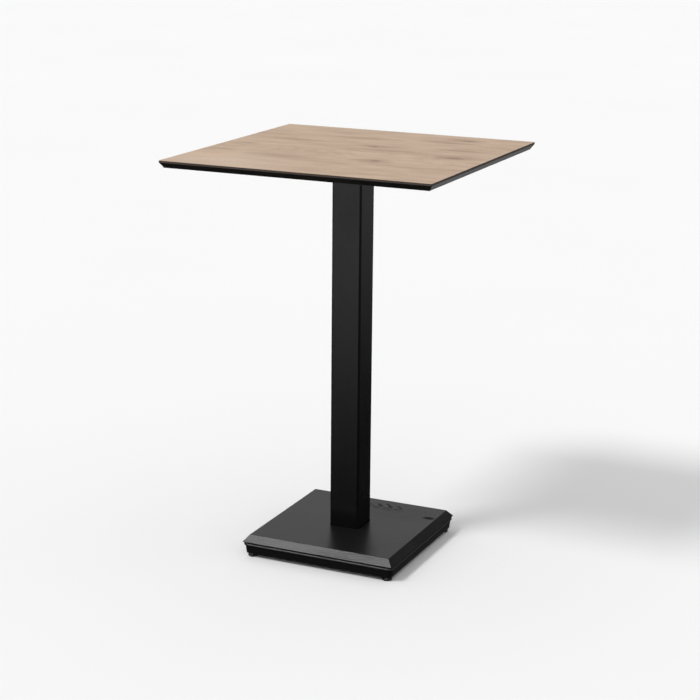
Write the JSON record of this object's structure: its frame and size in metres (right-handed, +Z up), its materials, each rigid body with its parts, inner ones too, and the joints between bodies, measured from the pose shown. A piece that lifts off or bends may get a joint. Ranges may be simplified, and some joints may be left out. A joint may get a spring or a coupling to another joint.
{
  "type": "bistro table",
  "caption": "Bar-height bistro table: square oak-decor top with black undercut edge, square black steel column, low square bevelled base on adjustable levelling feet.",
  "frame": {"origin": "on the floor under the column's axis, at the feet's lowest setting", "axes": "+Z up along the column; +X along the top's wood grain; -Y is the front edge"},
  "size_m": [0.7, 0.7, 1.03],
  "materials": {
    "oak_laminate": "matt oak decor, fine straight grain along X",
    "black_core": "through-dyed black fibreboard, fine satin machined edge",
    "black_backer": "matt black balancing laminate",
    "black_powder_coat": "fine-texture satin black powder coat",
    "black_plate": "satin black powder coat, slightly worn edge",
    "black_oak": "black-stained open-grain oak, satin lacquer",
    "black_cast_iron": "sand-cast, matt black enamel",
    "zinc_steel": "bright zinc plate",
    "black_nylon": "moulded nylon"
  },
  "bodies": {
    "table": {"tabletop_laminate": "oak_laminate", "tabletop_core": "black_core", "tabletop_backer": "black_backer", "tabletop_inserts": "zinc_steel", "top_plate": "black_powder_coat", "top_plate_screws": "zinc_steel", "top_locator": "black_powder_coat", "top_weld_nut": "black_powder_coat", "column_tube": "black_powder_coat", "bottom_locator": "black_powder_coat", "tie_rod": "zinc_steel", "tie_rod_washer": "zinc_steel", "tie_rod_nut": "zinc_steel", "base_board": "black_oak", "base_board_screws": "zinc_steel", "base_plate": "black_plate", "base_weight": "black_cast_iron", "base_weight_screws": "zinc_steel", "foot_bushes": "zinc_steel"},
    "foot_pad_front_left": {"foot_pad_front_left": "black_nylon"},
    "foot_stem_front_left": {"foot_stem_front_left": "zinc_steel"},
    "foot_pad_front_right": {"foot_pad_front_right": "black_nylon"},
    "foot_stem_front_right": {"foot_stem_front_right": "zinc_steel"},
    "foot_pad_back_left": {"foot_pad_back_left": "black_nylon"},
    "foot_stem_back_left": {"foot_stem_back_left": "zinc_steel"},
    "foot_pad_back_right": {"foot_pad_back_right": "black_nylon"},
    "foot_stem_back_right": {"foot_stem_back_right": "zinc_steel"}
  },
  "joints": [
    {"name": "foot_height_front_left", "type": "slide", "parent": "table", "child": "foot_pad_front_left", "axis": [0, 0, -1], "range_m": [0, 0.01]},
    {"name": "foot_turn_front_left", "type": "hinge", "parent": "foot_pad_front_left", "child": "foot_stem_front_left", "pos_m": [-0.187, -0.187, 0], "axis": [0, 0, -1], "range_deg": [0, 2400]},
    {"name": "foot_height_front_right", "type": "slide", "parent": "table", "child": "foot_pad_front_right", "axis": [0, 0, -1], "range_m": [0, 0.01]},
    {"name": "foot_turn_front_right", "type": "hinge", "parent": "foot_pad_front_right", "child": "foot_stem_front_right", "pos_m": [0.187, -0.187, 0], "axis": [0, 0, -1], "range_deg": [0, 2400]},
    {"name": "foot_height_back_left", "type": "slide", "parent": "table", "child": "foot_pad_back_left", "axis": [0, 0, -1], "range_m": [0, 0.01]},
    {"name": "foot_turn_back_left", "type": "hinge", "parent": "foot_pad_back_left", "child": "foot_stem_back_left", "pos_m": [-0.187, 0.187, 0], "axis": [0, 0, -1], "range_deg": [0, 2400]},
    {"name": "foot_height_back_right", "type": "slide", "parent": "table", "child": "foot_pad_back_right", "axis": [0, 0, -1], "range_m": [0, 0.01]},
    {"name": "foot_turn_back_right", "type": "hinge", "parent": "foot_pad_back_right", "child": "foot_stem_back_right", "pos_m": [0.187, 0.187, 0], "axis": [0, 0, -1], "range_deg": [0, 2400]}
  ],
  "couplings": [
    {"joint": "foot_turn_front_left", "follows": "foot_height_front_left", "rad_per_m": 4188.8},
    {"joint": "foot_turn_front_right", "follows": "foot_height_front_right", "rad_per_m": 4188.8},
    {"joint": "foot_turn_back_left", "follows": "foot_height_back_left", "rad_per_m": 4188.8},
    {"joint": "foot_turn_back_right", "follows": "foot_height_back_right", "rad_per_m": 4188.8}
  ]
}
